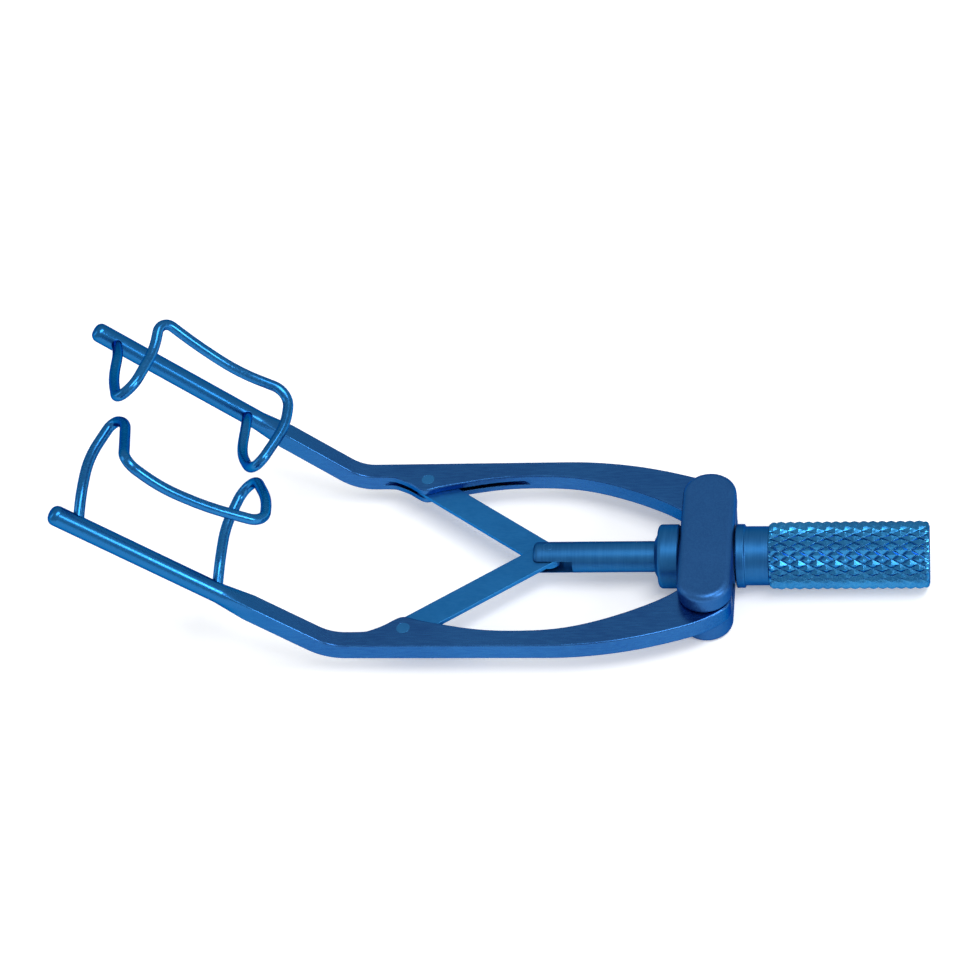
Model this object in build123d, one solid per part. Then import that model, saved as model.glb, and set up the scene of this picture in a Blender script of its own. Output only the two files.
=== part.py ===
from build123d import *
import os
from math import atan2, cos, degrees, hypot, radians, sin, tan

# Adjustable open-wire eyelid speculum, millimetres.
# +X runs along the screw towards the thumb nut, +Y towards the right arm, +Z up. The parts are
# made about the middle of the hinge block, then raised so that the origin is the middle of the
# block's lower face.

# Hinge block
BLOCK_WIDTH = 4.66
LOWER_WIDTH = 4.4
BLOCK_HEIGHT = 5.8
HINGE_Y = 5.1
ARM_THICK = 1.7
ARM_GAP = 1.8
WEB_HALF = 2.3
UPPER_ROUND = 0.6
UNDER_ROUND = 0.35
LOWER_ROUND = 0.4
HINGE_PIN_R = 0.8
HINGE_PIN_TOP = 1.9

# Fork rod and its screw
ROD_R = 1.35
ROD_TIP_X = -15.2
ROD_ROUND = 0.45
FORK_SLOT = 1.36
FORK_DEPTH = 3.45
FORK_PIN_X = -13.9
FORK_PIN_R = 0.4
SCREW_START_X = 4.0
SCREW_END_X = 14.5
SCREW_CORE_R = 1.02
SCREW_CREST_R = 1.25
SCREW_PITCH = 0.5

# Thumb nut, one turned piece with its sleeve, and the collar that retains it
AXIAL_GAP = 0.1
SLEEVE_R = 1.8
NUT_BORE_R = 1.39
NUT_BORE_END_X = 16.2
SLEEVE_END_X = -4.2
RING_R = 2.75
RING_LENGTH = 0.75
NECK_R = 2.55
NECK_LENGTH = 2.1
KNURL_R = 2.92
KNURL_LENGTH = 13.55
KNURL_CHAMFER = 0.4
COLLAR_R = 2.78
COLLAR_LENGTH = 1.85
COLLAR_LIP = 0.3
COLLAR_ROUND = 0.35
COLLAR_CHAMFER = 0.12

# Arms, given for the right arm
LINK_PIN = (-25.6, 8.8)
LINK_PIN_R = 0.575
STRIP_OUTER_Y = 10.83
STRIP_WIDTH = 1.66
STRIP_END_X = -30.2
EYE_R = 2.22
ARM_ROUND = 0.15
EYE_OUT_DEG = 8
EYE_IN_DEG = 203
INNER_EDGE = [
    (-5.0, 6.24), (-8.7, 7.86), (-12.3, 8.82), (-15.5, 9.06), (-19.2, 8.9),
    (-22.6, 8.27), (-24.9, 7.68), (-25.85, 7.48), (-26.55, 7.83), (-27.4, 8.45), (-28.4, 8.96),
]
OUTER_CURVE = [
    (-9.6, 10.62), (-6.4, 10.1), (-3.6, 9.37), (-1.8, 8.78), (-0.4, 8.22), (1.35, 7.1),
]
OUTER_CURVE_START_X = -13.2
POCKET_R = 20.6
POCKET_TOP = (-23.3, 10.27)

# Round bars that carry the blade wires
BEND_X = -32.1
BEND_RADIUS = 4.0
BAR_RISE_DEG = 41.0
BAR_SPREAD_DEG = 2.0
BAR_LENGTHS = {"right": 27.7, "left": 26.8}
BAR_R = 0.86
TAPER_START = 7.9
TAPER_LENGTH = 2.9
BAR_TIP_ROUND = 0.6

# Blade wires, bent by hand, so the two differ a little. Each route starts and ends on its bar,
# and a point is (along the bar from the bend, inward, away from the bar).
WIRE_R = 0.46
BEND_SHARE = 0.46
BLADE_ROUTES = {
    "right": [
        (12.0, 0.0, 0.0), (12.4, 2.1, 1.4), (12.1, 6.1, 1.5), (11.6, 8.9, 3.3), (11.5, 9.5, 5.2),
        (10.7, 5.5, 6.8), (11.4, 2.4, 7.4), (16.0, 2.35, 6.42), (20.4, 2.2, 6.65), (24.4, 2.0, 7.2),
        (23.7, 4.6, 6.1), (24.2, 8.6, 5.2), (24.8, 9.5, 3.6), (25.2, 5.9, 1.9), (25.3, 2.3, 1.2),
        (25.5, 0.0, 0.0),
    ],
    "left": [
        (11.0, 0.0, 0.0), (11.8, 2.3, 1.3), (12.0, 5.9, 1.6), (11.7, 9.0, 3.1), (11.4, 9.1, 5.0),
        (10.9, 5.7, 6.8), (11.0, 2.6, 7.3), (16.0, 1.9, 6.7), (20.3, 1.8, 6.5), (24.1, 2.1, 7.1),
        (24.0, 4.9, 6.1), (24.0, 8.2, 5.1), (24.5, 9.4, 3.4), (25.3, 5.8, 1.8), (25.0, 2.3, 1.2),
        (24.2, 0.0, 0.0),
    ],
}

# Links between the arms and the fork
LINK_THICK = 0.38
LINK_WIDTH = 2.4
LINK_LEVELS = {"right": 0.0, "left": 0.41}
LINK_POCKET_HEIGHT = 0.48
RUNNING_GAP = 0.03
LOOP_CLEARANCE = 0.26

SIDES = {"right": 1, "left": -1}


def tube_x(outer_r, start_x, end_x):
    """Solid cylinder on the screw axis."""
    disc = Plane.YZ.offset(start_x) * Circle(outer_r)
    return extrude(disc, end_x - start_x)


def pin_z(radius, place, bottom, top):
    """Solid cylinder along Z at an (x, y) place."""
    return extrude(Pos(place[0], place[1], bottom) * Circle(radius), top - bottom)


def mirrored(shape, side):
    """The right-hand shape, or its mirror image for the left side."""
    return shape if side > 0 else shape.mirror(Plane.XZ)


def make_plate(width, bottom, top, lower_round, upper_round):
    """One round-ended plate of the block, with both of its rims rounded."""
    plan = Rot(0, 0, 90) * SlotCenterToCenter(2 * HINGE_Y, width)
    plate = extrude(Pos(0, 0, bottom) * plan, top - bottom)
    plate = fillet(plate.faces().sort_by(Axis.Z)[-1].edges(), upper_round)
    return fillet(plate.faces().sort_by(Axis.Z)[0].edges(), lower_round)


def make_block():
    half = BLOCK_HEIGHT / 2
    gap_half = ARM_GAP / 2
    body = make_plate(BLOCK_WIDTH, gap_half, half, UNDER_ROUND, UPPER_ROUND)
    body += make_plate(LOWER_WIDTH, -half, -gap_half, LOWER_ROUND, ARM_ROUND)
    web_foot = -gap_half - ARM_ROUND
    web_top = gap_half + UNDER_ROUND
    body += extrude(Pos(0, 0, web_foot) * Rectangle(BLOCK_WIDTH, 2 * WEB_HALF), web_top - web_foot)
    for side in SIDES.values():
        body -= pin_z(HINGE_PIN_R, (0, side * HINGE_Y), -half, HINGE_PIN_TOP)
    return body - tube_x(SLEEVE_R + RUNNING_GAP, -BLOCK_WIDTH, BLOCK_WIDTH)


def make_hinge_pin(side):
    return pin_z(HINGE_PIN_R, (0, side * HINGE_Y), -BLOCK_HEIGHT / 2, HINGE_PIN_TOP)


def rod_profile():
    """Upper half outline of the rod and its ringed screw, in the XZ plane."""
    points = [(ROD_TIP_X, 0), (ROD_TIP_X, ROD_R), (SCREW_START_X - SCREW_PITCH, ROD_R)]
    turns = int((SCREW_END_X - SCREW_START_X) / SCREW_PITCH)
    for turn in range(turns):
        x = SCREW_START_X + turn * SCREW_PITCH
        points.append((x, SCREW_CORE_R))
        points.append((x + SCREW_PITCH / 2, SCREW_CREST_R))
    points.append((SCREW_END_X, SCREW_CORE_R))
    points.append((SCREW_END_X, 0))
    return points


def make_rod():
    outline = Plane.XZ * make_face(Polyline(*rod_profile(), close=True))
    rod = revolve(outline, Axis.X)
    tip_edge = rod.edges().filter_by(GeomType.CIRCLE).sort_by(Axis.X)[0]
    rod = fillet(tip_edge, ROD_ROUND)
    slot = Box(FORK_DEPTH, 4 * ROD_R, FORK_SLOT, align=(Align.MIN, Align.CENTER, Align.CENTER))
    rod -= Pos(ROD_TIP_X, 0, 0) * slot
    return rod - pin_z(FORK_PIN_R, (FORK_PIN_X, 0), -ROD_R, ROD_R)


def make_fork_pin():
    blank = pin_z(FORK_PIN_R, (FORK_PIN_X, 0), -ROD_R, ROD_R)
    return blank & tube_x(ROD_R, ROD_TIP_X, 0)


def make_thumb_nut():
    ring_start = BLOCK_WIDTH / 2 + AXIAL_GAP
    neck_start = ring_start + RING_LENGTH
    knurl_start = neck_start + NECK_LENGTH
    knurl = tube_x(KNURL_R, knurl_start, knurl_start + KNURL_LENGTH)
    knurl = chamfer(knurl.edges().filter_by(GeomType.CIRCLE), KNURL_CHAMFER)
    nut = knurl + tube_x(NECK_R, neck_start, knurl_start)
    nut += tube_x(RING_R, ring_start, neck_start)
    nut += tube_x(SLEEVE_R, SLEEVE_END_X, ring_start)
    return nut - tube_x(NUT_BORE_R, SLEEVE_END_X, NUT_BORE_END_X)


def make_collar():
    rear = -BLOCK_WIDTH / 2 - AXIAL_GAP
    front = rear - COLLAR_LENGTH
    ring = tube_x(COLLAR_R, front, rear)
    ring = fillet(ring.edges().sort_by(Axis.X)[0], COLLAR_ROUND)
    ring = chamfer(ring.edges().sort_by(Axis.X)[-1], COLLAR_CHAMFER)
    lip_base_r = (NUT_BORE_R + COLLAR_R) / 2
    cone = Rot(0, -90, 0) * Cone(lip_base_r, NUT_BORE_R + COLLAR_LIP / 2, COLLAR_LIP)
    ring += Pos(front - COLLAR_LIP / 2, 0, 0) * cone
    ring -= tube_x(SLEEVE_R, SLEEVE_END_X, rear)
    return ring - tube_x(NUT_BORE_R, front - 2 * COLLAR_LIP, SLEEVE_END_X)


def on_eye(angle):
    """Point on the rim of the arm's hinge eye."""
    return (EYE_R * cos(radians(angle)), HINGE_Y + EYE_R * sin(radians(angle)))


def arm_plan():
    """Flat outline of the right arm, from the hinge eye to the start of the bend."""
    inner_end = (STRIP_END_X, STRIP_OUTER_Y - STRIP_WIDTH)
    outer_end = (STRIP_END_X, STRIP_OUTER_Y)
    outer_start = (OUTER_CURVE_START_X, STRIP_OUTER_Y)
    eye_out, eye_in = on_eye(EYE_OUT_DEG), on_eye(EYE_IN_DEG)
    edges = [
        Spline(eye_in, *INNER_EDGE, inner_end, tangents=[(-1, 1), (-1, 0)]),
        Line(inner_end, outer_end),
        Line(outer_end, outer_start),
        Spline(outer_start, *OUTER_CURVE, eye_out, tangents=[(1, 0), (0, -1)]),
        ThreePointArc(eye_out, on_eye(-90), eye_in),
    ]
    return make_face(Wire(edges))


def bar_plane():
    """Frame at the bend: X along the bar, Y inward, Z away from the bar."""
    along = Vector(-cos(radians(BAR_RISE_DEG)), 0, sin(radians(BAR_RISE_DEG)))
    along = along.rotate(Axis.Z, -BAR_SPREAD_DEG)
    lift = Vector(sin(radians(BAR_RISE_DEG)), 0, cos(radians(BAR_RISE_DEG)))
    lift = lift.rotate(Axis.Z, -BAR_SPREAD_DEG)
    middle_y = STRIP_OUTER_Y - STRIP_WIDTH / 2
    return Plane(origin=(BEND_X, middle_y, 0), x_dir=along, z_dir=lift)


def at_bar(along, inward, lift):
    return bar_plane().from_local_coords(Vector(along, inward, lift))


def make_bar(length):
    """Bent square neck of the arm, its taper and the round bar."""
    middle_y = STRIP_OUTER_Y - STRIP_WIDTH / 2
    corner = Vector(BEND_X, middle_y, 0)
    start_point = (STRIP_END_X, middle_y, 0)
    path = FilletPolyline(start_point, corner, at_bar(TAPER_START, 0, 0), radius=BEND_RADIUS)
    section = RectangleRounded(STRIP_WIDTH, ARM_THICK, ARM_ROUND)
    start = Plane(origin=start_point, x_dir=(0, 1, 0), z_dir=(-1, 0, 0))
    neck = sweep(start * section, path=path)
    frame = bar_plane()
    across = Plane(origin=frame.origin, x_dir=frame.y_dir, z_dir=frame.x_dir)
    square = across.offset(TAPER_START) * section
    round_end = across.offset(TAPER_START + TAPER_LENGTH) * Circle(BAR_R)
    taper = loft([square, round_end])
    bar = extrude(round_end, length - TAPER_START - TAPER_LENGTH)
    tip = bar.edges().filter_by(GeomType.CIRCLE).sort_by(Axis.Z)[-1]
    return neck + taper + fillet(tip, BAR_TIP_ROUND)


def bend_radii(points):
    """The largest smooth bend at each inner point that leaves both of its runs a little straight."""
    radii = []
    for before, corner, after in zip(points, points[1:], points[2:]):
        run_in, run_out = before - corner, after - corner
        shorter = min(run_in.length, run_out.length)
        radii.append(BEND_SHARE * shorter * tan(radians(run_in.get_angle(run_out) / 2)))
    return radii


def make_wire(name):
    """The blade wire of the named arm, made on the right-hand bar."""
    points = [at_bar(*place) for place in BLADE_ROUTES[name]]
    path = FilletPolyline(*points, radius=bend_radii(points))
    start = Plane(origin=points[0], z_dir=points[1] - points[0])
    return sweep(start * Circle(WIRE_R), path=path)


def link_pocket(level):
    """Slot for the link, cut into the arm's inner edge with a round saw."""
    centre = (POCKET_TOP[0], POCKET_TOP[1] - POCKET_R)
    half = LINK_POCKET_HEIGHT / 2
    return pin_z(POCKET_R, centre, level - half, level + half)


def make_arm(name, side, wire):
    half = ARM_THICK / 2
    flat = extrude(Pos(0, 0, -half) * arm_plan(), ARM_THICK)
    rims = flat.faces().filter_by(Axis.Z).edges()
    rims = [edge for edge in rims if edge.center().X > STRIP_END_X + ARM_ROUND]
    arm = fillet(rims, ARM_ROUND) + make_bar(BAR_LENGTHS[name])
    arm -= pin_z(HINGE_PIN_R + RUNNING_GAP, (0, HINGE_Y), -ARM_THICK, ARM_THICK)
    arm -= pin_z(LINK_PIN_R, LINK_PIN, -ARM_THICK, ARM_THICK)
    arm -= link_pocket(LINK_LEVELS[name])
    return mirrored(arm - wire, side)


def make_link_pin(side):
    return pin_z(LINK_PIN_R, (LINK_PIN[0], side * LINK_PIN[1]), -ARM_THICK / 2, ARM_THICK / 2)


def make_link(name, side):
    """Flat strip from the arm's pin to the fork; its fork hole leaves the loop some play."""
    run_x, run_y = FORK_PIN_X - LINK_PIN[0], -LINK_PIN[1]
    length = hypot(run_x, run_y)
    middle = Pos((FORK_PIN_X + LINK_PIN[0]) / 2, LINK_PIN[1] / 2, 0)
    plan = middle * Rot(0, 0, degrees(atan2(run_y, run_x))) * SlotCenterToCenter(length, LINK_WIDTH)
    strip = extrude(Pos(0, 0, LINK_LEVELS[name] - LINK_THICK / 2) * plan, LINK_THICK)
    strip -= pin_z(LINK_PIN_R + RUNNING_GAP, LINK_PIN, -ARM_THICK, ARM_THICK)
    strip -= pin_z(FORK_PIN_R + LOOP_CLEARANCE, (FORK_PIN_X, 0), -ARM_THICK, ARM_THICK)
    return mirrored(strip, side)


def make_parts():
    parts = {
        "hinge_block": make_block(),
        "fork_rod": make_rod(),
        "fork_pin": make_fork_pin(),
        "thumb_nut": make_thumb_nut(),
        "front_collar": make_collar(),
    }
    for name, side in SIDES.items():
        wire = make_wire(name)
        parts[f"{name}_arm"] = make_arm(name, side, wire)
        parts[f"{name}_blade_wire"] = mirrored(wire, side)
        parts[f"{name}_link"] = make_link(name, side)
        parts[f"{name}_link_pin"] = make_link_pin(side)
        parts[f"{name}_hinge_pin"] = make_hinge_pin(side)
    return parts


os.makedirs("parts", exist_ok=True)
for node, shape in make_parts().items():
    solid = Pos(0, 0, BLOCK_HEIGHT / 2) * shape
    solid.label = node
    export_step(solid, f"parts/{node}.step")
    box = solid.bounding_box()
    print(f"{node:18} volume {solid.volume:8.2f} mm3  x {box.min.X:7.2f}..{box.max.X:7.2f}"
          f"  y {box.min.Y:7.2f}..{box.max.Y:7.2f}  z {box.min.Z:6.2f}..{box.max.Z:6.2f}")
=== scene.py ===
import math
import bmesh
import bpy
from mathutils import Matrix, Vector


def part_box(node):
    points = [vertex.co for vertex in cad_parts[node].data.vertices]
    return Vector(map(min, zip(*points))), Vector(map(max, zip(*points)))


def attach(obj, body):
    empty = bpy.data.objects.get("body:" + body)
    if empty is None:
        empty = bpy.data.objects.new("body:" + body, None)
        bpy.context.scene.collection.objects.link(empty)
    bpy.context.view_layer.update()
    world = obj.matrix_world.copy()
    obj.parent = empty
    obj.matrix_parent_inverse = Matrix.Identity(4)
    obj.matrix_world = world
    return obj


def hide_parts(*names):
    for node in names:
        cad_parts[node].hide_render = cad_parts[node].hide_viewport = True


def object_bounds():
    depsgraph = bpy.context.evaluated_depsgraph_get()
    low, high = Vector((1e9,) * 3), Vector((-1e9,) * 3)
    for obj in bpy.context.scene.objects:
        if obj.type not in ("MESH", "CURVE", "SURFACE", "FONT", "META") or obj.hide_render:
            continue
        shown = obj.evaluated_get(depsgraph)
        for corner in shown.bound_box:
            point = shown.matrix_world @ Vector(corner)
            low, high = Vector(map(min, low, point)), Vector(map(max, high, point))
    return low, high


# Looks for the adjustable eyelid speculum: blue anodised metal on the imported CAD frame.
# Metres, same frame as the CAD: +X along the screw to the thumb nut, +Y to the right arm, +Z up.

MM = 0.001

# Camera: angles in degrees, aim measured from the screw axis at the middle of the hinge block
CAMERA_AZIMUTH = 13.52
CAMERA_ELEVATION = 45.32
CAMERA_ROLL = -10.37
CAMERA_DISTANCE = 230 * MM
CAMERA_LENS = 98.0
AIM_LEFT = 18.86 * MM
AIM_UP = 5.70 * MM

# Studio
FLOOR_SIZE = 4.0
FLOOR_GAP = 0.02 * MM
FLOOR_GLOW = 0.22
WORLD_LIGHT = 0.6
LIGHT_AIM = (-0.016, 0, 0.005)
# Each softbox: name, place, size and watts
SOFTBOXES = [
    ("key_softbox", (0.134, -0.10, 0.47), (0.34, 0.14), 1.15),
    ("right_softbox", (0.36, -0.20, 0.20), (0.10, 0.14), 0.7),
    ("left_fill", (-0.50, -0.05, 0.22), (0.16, 0.35), 0.25),
]

# Thumb nut
GRIP_LENGTH = 13.55 * MM
NECK_LENGTH = 2.1 * MM
RING_LENGTH = 0.75 * MM
NECK_R = 2.55 * MM
RING_R = 2.75 * MM
SLEEVE_R = 1.8 * MM
BORE_R = 1.39 * MM
BORE_BACK = 2.63 * MM
SOFT = 0.07 * MM
LEAD_IN = 0.3 * MM
LEAD_IN_DROP = 0.2 * MM
LEAD_IN_SHARE = 0.3
RUN_OUT = 0.5 * MM
RUN_OUT_SHARE = 0.1
CORNER_STEPS = (0.55, 0.8, 0.95)
CORNER_SPREAD = 0.35
KNURL_STARTS = 21
KNURL_STEPS = 8
KNURL_PITCH = 1.56 * MM
KNURL_DEPTH = 0.27 * MM
KNURL_CREST = 0.9
DISH_R = 1.2 * MM
DISH_FLOOR_R = 0.9 * MM
DISH_DEPTH = 0.05 * MM
SHARP_DEG = 14

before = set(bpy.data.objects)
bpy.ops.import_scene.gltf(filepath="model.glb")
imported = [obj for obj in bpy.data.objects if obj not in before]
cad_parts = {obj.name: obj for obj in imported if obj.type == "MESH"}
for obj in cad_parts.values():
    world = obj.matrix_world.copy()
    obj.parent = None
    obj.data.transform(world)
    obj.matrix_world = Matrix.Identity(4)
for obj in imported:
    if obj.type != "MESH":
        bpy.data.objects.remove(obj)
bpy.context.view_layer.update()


def axis_z():
    """Height of the screw axis, from the rod."""
    low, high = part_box("fork_rod")
    return (low.z + high.z) / 2


# Materials; the noise scales count features per millimetre

DRIFT_SCALE = 0.16
CLOUD_SCALE = 0.9
PIT_SCALE = 5.0


class Nodes:
    """Small helper for building one material's node tree."""

    def __init__(self, name):
        self.material = bpy.data.materials.new(name)
        self.material.use_nodes = True
        self.tree = self.material.node_tree
        self.shader = self.tree.nodes["Principled BSDF"]

    def add(self, kind, inputs=None, **settings):
        node = self.tree.nodes.new(kind)
        for key, value in settings.items():
            setattr(node, key, value)
        for key, value in (inputs or {}).items():
            if isinstance(value, bpy.types.NodeSocket):
                self.tree.links.new(value, node.inputs[key])
            else:
                node.inputs[key].default_value = value
        return node

    def place(self, scale=(1, 1, 1), rotation=(0, 0, 0)):
        """Object coordinates in millimetres, stretched."""
        coords = self.add("ShaderNodeTexCoord").outputs["Object"]
        per_mm = tuple(s / MM for s in scale)
        mapping = self.add("ShaderNodeMapping", {"Vector": coords, "Scale": per_mm, "Rotation": rotation})
        return mapping.outputs["Vector"]

    def noise(self, scale, detail=3.0, stretch=(1, 1, 1), rotation=(0, 0, 0), rough=0.55):
        vector = self.place(stretch, rotation)
        node = self.add("ShaderNodeTexNoise", {
            "Vector": vector, "Scale": scale, "Detail": detail, "Roughness": rough})
        return node.outputs["Fac"]

    def span(self, value, low, high, to_low, to_high):
        node = self.add("ShaderNodeMapRange", {
            "Value": value, "From Min": low, "From Max": high, "To Min": to_low, "To Max": to_high})
        return node.outputs["Result"]

    def maths(self, operation, first, second):
        return self.add("ShaderNodeMath", {0: first, 1: second}, operation=operation).outputs[0]

    def blend(self, factor, first, second, mode="MIX"):
        node = self.tree.nodes.new("ShaderNodeMix")
        node.data_type = "RGBA"
        node.blend_type = mode
        for key, value in ((0, factor), (6, first), (7, second)):
            if isinstance(value, bpy.types.NodeSocket):
                self.tree.links.new(value, node.inputs[key])
            else:
                node.inputs[key].default_value = value
        return node.outputs[2]

    def wire(self, socket, name):
        self.tree.links.new(socket, self.shader.inputs[name])


def rgb(red, green, blue):
    """Linear colour from display values of 0 to 255."""
    def linear(value):
        value = value / 255
        return value / 12.92 if value <= 0.04045 else ((value + 0.055) / 1.055) ** 2.4
    return (linear(red), linear(green), linear(blue), 1.0)


def anodised(name, base, deep, wear_and_edge_highlight, roughness, grain, stretch, rotation=(0, 0, 0),
             grain_height=0.0016, pit_height=0.0012, round_edge=0.07, painted_bar_highlight_tint=None):
    """Anodised metal: drifting oxide hue, fine tool marks, small pits, and paler edges, which are painted
    edge highlights as well as rubbed wear.

    A cyan bar colour, if given, takes over along -X, where the arms turn into their round bars; it is a
    painted highlight tint for the light the bars catch.
    """
    n = Nodes(name)
    drift = n.noise(DRIFT_SCALE, 3.0)
    cloud = n.noise(CLOUD_SCALE, 4.0)
    marks = n.noise(grain, 2.0, stretch, rotation)
    pits = n.noise(PIT_SCALE, 2.0)
    colour = n.blend(n.span(drift, 0.35, 0.65, 0.0, 1.0), base, deep)
    colour = n.blend(n.span(cloud, 0.45, 0.75, 0.0, 0.4), colour, base)
    colour = n.blend(n.span(marks, 0.35, 0.7, 0.0, 0.16), colour, wear_and_edge_highlight)
    # Painted highlight: the round bars are tinted a lighter cyan along -X, standing in for the light they
    # catch.
    if painted_bar_highlight_tint:
        along = n.add("ShaderNodeSeparateXYZ", {"Vector": n.place()}).outputs["X"]
        colour = n.blend(n.span(along, PAINTED_BAR_HIGHLIGHT_START, PAINTED_BAR_HIGHLIGHT_FULL, 0.0, 1.0), colour, painted_bar_highlight_tint)
    normal = n.add("ShaderNodeNewGeometry").outputs["Normal"]
    rounded = n.add("ShaderNodeBevel", {"Radius": round_edge * MM}, samples=6).outputs["Normal"]
    # Painted edge highlight, partly also rubbed wear: where the bevel normal leans away from the surface
    # normal, the colour pales towards the pale edge colour in cloudy patches.
    facing = n.add("ShaderNodeVectorMath", {0: rounded, 1: normal}, operation="DOT_PRODUCT")
    edge = n.span(facing.outputs["Value"], 0.995, 0.86, 0.0, 1.0)
    edge_highlight_and_rub = n.maths("MULTIPLY", edge, n.span(cloud, 0.3, 0.65, 0.15, 0.5))
    n.wire(n.blend(edge_highlight_and_rub, colour, wear_and_edge_highlight), "Base Color")
    rough = n.maths("ADD", n.span(marks, 0.3, 0.7, roughness - 0.04, roughness + 0.06),
                    n.span(pits, 0.3, 0.7, -0.02, 0.03))
    n.wire(rough, "Roughness")
    n.shader.inputs["Metallic"].default_value = 1.0
    n.shader.inputs["Specular Tint"].default_value = GRAZING_TINT
    height = n.maths("ADD", n.maths("MULTIPLY", marks, grain_height), n.maths("MULTIPLY", pits, pit_height))
    bump = n.add("ShaderNodeBump", {"Height": height, "Distance": MM, "Normal": rounded})
    n.wire(bump.outputs["Normal"], "Normal")
    return n.material


GRAZING_TINT = rgb(84, 138, 178)
BLUE = rgb(46, 98, 160)
DEEP = rgb(41, 88, 150)
# Pale colour for tool-mark streaks and rubbed wear, also used as the painted highlight along edges.
WEAR_AND_EDGE_HIGHLIGHT = rgb(76, 146, 204)

# Millimetres along X between which the arms' colour turns to the painted cyan highlight tint of their bars
PAINTED_BAR_HIGHLIGHT_START = -33.0
PAINTED_BAR_HIGHLIGHT_FULL = -42.0

ALONG_X = (0.12, 1.0, 1.0)
AROUND_X = (1.0, 0.05, 0.05)
EVEN = (1.0, 1.0, 1.0)

MATERIALS = {
    # The arm's last colour is the painted cyan highlight tint of its round bars.
    "arm": anodised("blue_anodised_satin_arm", BLUE, DEEP, WEAR_AND_EDGE_HIGHLIGHT, 0.25, 7.0, ALONG_X,
                    grain_height=0.0004, pit_height=0.0004, painted_bar_highlight_tint=rgb(35, 106, 166)),
    "block": anodised("blue_anodised_blasted_block", rgb(49, 97, 157), rgb(45, 92, 151), WEAR_AND_EDGE_HIGHLIGHT, 0.42, 8.0,
                      EVEN, pit_height=0.003),
    "turned": anodised("blue_anodised_turned_rod", rgb(40, 104, 161), rgb(36, 94, 151), WEAR_AND_EDGE_HIGHLIGHT, 0.42, 8.0,
                       AROUND_X),
    "wire": anodised("blue_anodised_polished_wire", rgb(38, 112, 174), rgb(30, 98, 160), rgb(80, 160, 214),
                     0.22, 5.0, EVEN, grain_height=0.0004, pit_height=0.0004),
    "link": anodised("blue_anodised_ground_link", rgb(44, 124, 192), rgb(38, 114, 180), rgb(76, 156, 212),
                     0.4, 7.0, (0.3, 1.0, 1.0), (0, 0, math.radians(37))),
    "pin": anodised("blue_anodised_pin_end", rgb(54, 126, 188), rgb(46, 116, 178), rgb(84, 160, 214), 0.36,
                    8.0, EVEN),
    # The knurl's bright pale colour paints the highlight lines along its facet edges.
    "knurl": anodised("blue_anodised_knurl", rgb(42, 128, 188), rgb(33, 108, 168), rgb(120, 200, 236), 0.21,
                      6.0, EVEN, grain_height=0.0008, pit_height=0.0008, round_edge=0.03),
}

NODE_LOOKS = {
    "hinge_block": "block", "fork_rod": "turned", "front_collar": "turned",
    "right_arm": "arm", "left_arm": "arm", "right_blade_wire": "wire", "left_blade_wire": "wire",
    "right_link": "link", "left_link": "link", "fork_pin": "turned",
    "right_link_pin": "pin", "left_link_pin": "pin", "right_hinge_pin": "pin", "left_hinge_pin": "pin",
}


def dress_nodes():
    """Give each CAD node its material."""
    for node, look in NODE_LOOKS.items():
        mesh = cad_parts[node].data
        mesh.materials.clear()
        mesh.materials.append(MATERIALS[look])


# Thumb nut: turned neck and ring, diamond-knurled grip

def knurl_height(along, angle):
    """Height of the knurl over its grooves, 0 to 1, with the crests rubbed a little flat."""
    lead = along / KNURL_PITCH
    turn = angle * KNURL_STARTS / (2 * math.pi)
    first = abs((lead + turn) % 1.0 * 2 - 1)
    second = abs((lead - turn) % 1.0 * 2 - 1)
    return min(1.0, (1 - max(first, second)) / KNURL_CREST)


def nut_profile():
    """(x, radius, knurl share) stations, from the end of the bore over the sleeve to the rear face."""
    low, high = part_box("thumb_nut")
    grip_r = (high.z - low.z) / 2
    rear = high.x
    front = rear - GRIP_LENGTH
    neck_front = front - NECK_LENGTH
    ring_front = neck_front - RING_LENGTH
    stations = [
        (rear - BORE_BACK, BORE_R, 0), (low.x, BORE_R, 0), (low.x, SLEEVE_R, 0),
        (ring_front, SLEEVE_R, 0),
        (ring_front, RING_R - SOFT, 0), (ring_front + SOFT, RING_R, 0),
        (neck_front - SOFT, RING_R, 0), (neck_front, RING_R - SOFT, 0),
        (neck_front, NECK_R + SOFT, 0), (neck_front + SOFT, NECK_R, 0), (front - SOFT, NECK_R, 0),
    ]
    step = KNURL_PITCH / KNURL_STEPS
    for row in range(int(GRIP_LENGTH / step) + 1):
        x = front + row * step
        lead_in = min(1.0, (x - front) / LEAD_IN)
        run_out = min(1.0, (rear - x) / RUN_OUT)
        drop = LEAD_IN_DROP * (1 - lead_in) + RUN_OUT * (1 - math.sqrt(1 - (1 - run_out) ** 2))
        stations.append((x, grip_r - drop, min(1.0, lead_in + LEAD_IN_SHARE, run_out + RUN_OUT_SHARE)))
    for turn in CORNER_STEPS:
        stations.append((rear - RUN_OUT * (1 - turn) * CORNER_SPREAD, grip_r - RUN_OUT * turn, 0))
    stations += [(rear, grip_r - RUN_OUT, 0), (rear, DISH_R, 0), (rear - DISH_DEPTH, DISH_FLOOR_R, 0)]
    return stations


def radial(vertex, z):
    """Distance of a vertex from the screw axis."""
    return math.hypot(vertex.co.y, vertex.co.z - z)


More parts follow.
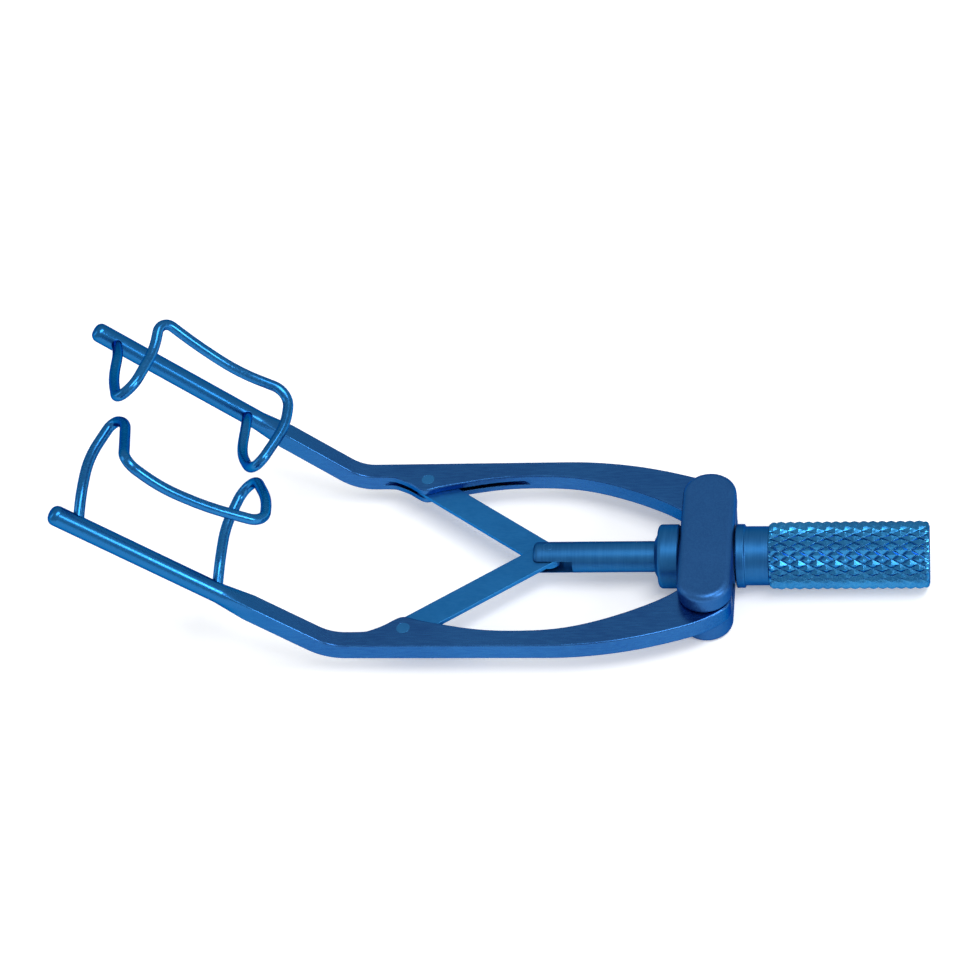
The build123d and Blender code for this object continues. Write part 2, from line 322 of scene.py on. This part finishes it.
def make_thumb_nut():
    """One closed lathe mesh with the knurl cut into its grip."""
    z = axis_z()
    around = KNURL_STARTS * KNURL_STEPS
    mesh = bmesh.new()
    rings = []
    stations = nut_profile()
    for x, radius, share in stations:
        ring = []
        for step in range(around):
            angle = 2 * math.pi * step / around
            r = radius - KNURL_DEPTH * share * (1 - knurl_height(x, angle))
            ring.append(mesh.verts.new((x, r * math.sin(angle), z + r * math.cos(angle))))
        rings.append(ring)
    for (x, _, share), ring, following in zip(stations, rings, rings[1:]):
        for step in range(around):
            nxt = (step + 1) % around
            corners = (ring[step], following[step], following[nxt], ring[nxt])
            if not share:
                mesh.faces.new(corners)
                continue
            a, b, c, d = corners
            falling = abs(radial(a, z) - radial(c, z)) > abs(radial(b, z) - radial(d, z))
            first, second = ((a, b, d), (b, c, d)) if falling else ((a, b, c), (a, c, d))
            mesh.faces.new(first)
            mesh.faces.new(second)
    mesh.faces.new(rings[-1][::-1])
    mesh.faces.new(rings[0])
    bmesh.ops.recalc_face_normals(mesh, faces=mesh.faces)
    for face in mesh.faces:
        face.smooth = True
        face.material_index = 0 if len(face.verts) == 3 else 1
    data = bpy.data.meshes.new("thumb_nut_knurled")
    mesh.to_mesh(data)
    mesh.free()
    data.set_sharp_from_angle(angle=math.radians(SHARP_DEG))
    piece = bpy.data.objects.new("thumb_nut_knurled", data)
    bpy.context.scene.collection.objects.link(piece)
    data.materials.append(MATERIALS["knurl"])
    data.materials.append(MATERIALS["turned"])
    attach(piece, "nut")
    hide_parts("thumb_nut")
    return piece


# Studio

def make_floor():
    """Wide sheet of pale paper just under the instrument."""
    low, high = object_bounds()
    place = ((low.x + high.x) / 2, 0, low.z - FLOOR_GAP)
    bpy.ops.mesh.primitive_plane_add(size=FLOOR_SIZE, location=place)
    floor = bpy.context.object
    floor.name = "studio_floor"
    n = Nodes("studio_paper")
    mottle = n.noise(0.02, 2.0)
    n.wire(n.blend(mottle, (0.93, 0.93, 0.93, 1), (0.96, 0.96, 0.96, 1)), "Base Color")
    n.shader.inputs["Roughness"].default_value = 0.9
    n.shader.inputs["Specular IOR Level"].default_value = 0.1
    n.shader.inputs["Emission Color"].default_value = (1, 1, 1, 1)
    n.shader.inputs["Emission Strength"].default_value = FLOOR_GLOW
    floor.data.materials.append(n.material)


def softbox(name, place, size, watts):
    """One rectangular area light aimed at the instrument."""
    light = bpy.data.lights.new(name, "AREA")
    light.shape = "RECTANGLE"
    light.size, light.size_y = size
    light.energy = watts
    lamp = bpy.data.objects.new(name, light)
    lamp.location = place
    lamp.rotation_euler = (Vector(LIGHT_AIM) - Vector(place)).to_track_quat("-Z", "Y").to_euler()
    bpy.context.scene.collection.objects.link(lamp)


def make_lights():
    """The softboxes and an even pale surround."""
    for box in SOFTBOXES:
        softbox(*box)
    world = bpy.data.worlds.new("studio")
    world.use_nodes = True
    background = world.node_tree.nodes["Background"]
    background.inputs["Color"].default_value = (0.96, 0.98, 1.0, 1)
    background.inputs["Strength"].default_value = WORLD_LIGHT
    bpy.context.scene.world = world


def make_camera():
    """Camera over the right-hand end, rolled a little and aimed left of the hinge block."""
    azimuth, elevation = math.radians(CAMERA_AZIMUTH), math.radians(CAMERA_ELEVATION)
    back = Vector((math.sin(azimuth) * math.cos(elevation), -math.cos(azimuth) * math.cos(elevation),
                   math.sin(elevation)))
    level = Vector((math.cos(azimuth), math.sin(azimuth), 0))
    turn = Matrix.Rotation(math.radians(CAMERA_ROLL), 3, back)
    right = turn @ level
    up = back.cross(right)
    centre = Vector((0, 0, axis_z()))
    place = centre - right * AIM_LEFT + up * AIM_UP + back * CAMERA_DISTANCE
    data = bpy.data.cameras.new("studio_camera")
    data.lens = CAMERA_LENS
    data.sensor_width = 36
    data.clip_start, data.clip_end = 0.01, 10
    camera = bpy.data.objects.new("studio_camera", data)
    camera.matrix_world = Matrix((right, up, back)).transposed().to_4x4()
    camera.matrix_world.translation = place
    bpy.context.scene.collection.objects.link(camera)
    bpy.context.scene.camera = camera


dress_nodes()
make_thumb_nut()
make_floor()
make_lights()
make_camera()
bpy.context.scene.view_settings.view_transform = "Standard"
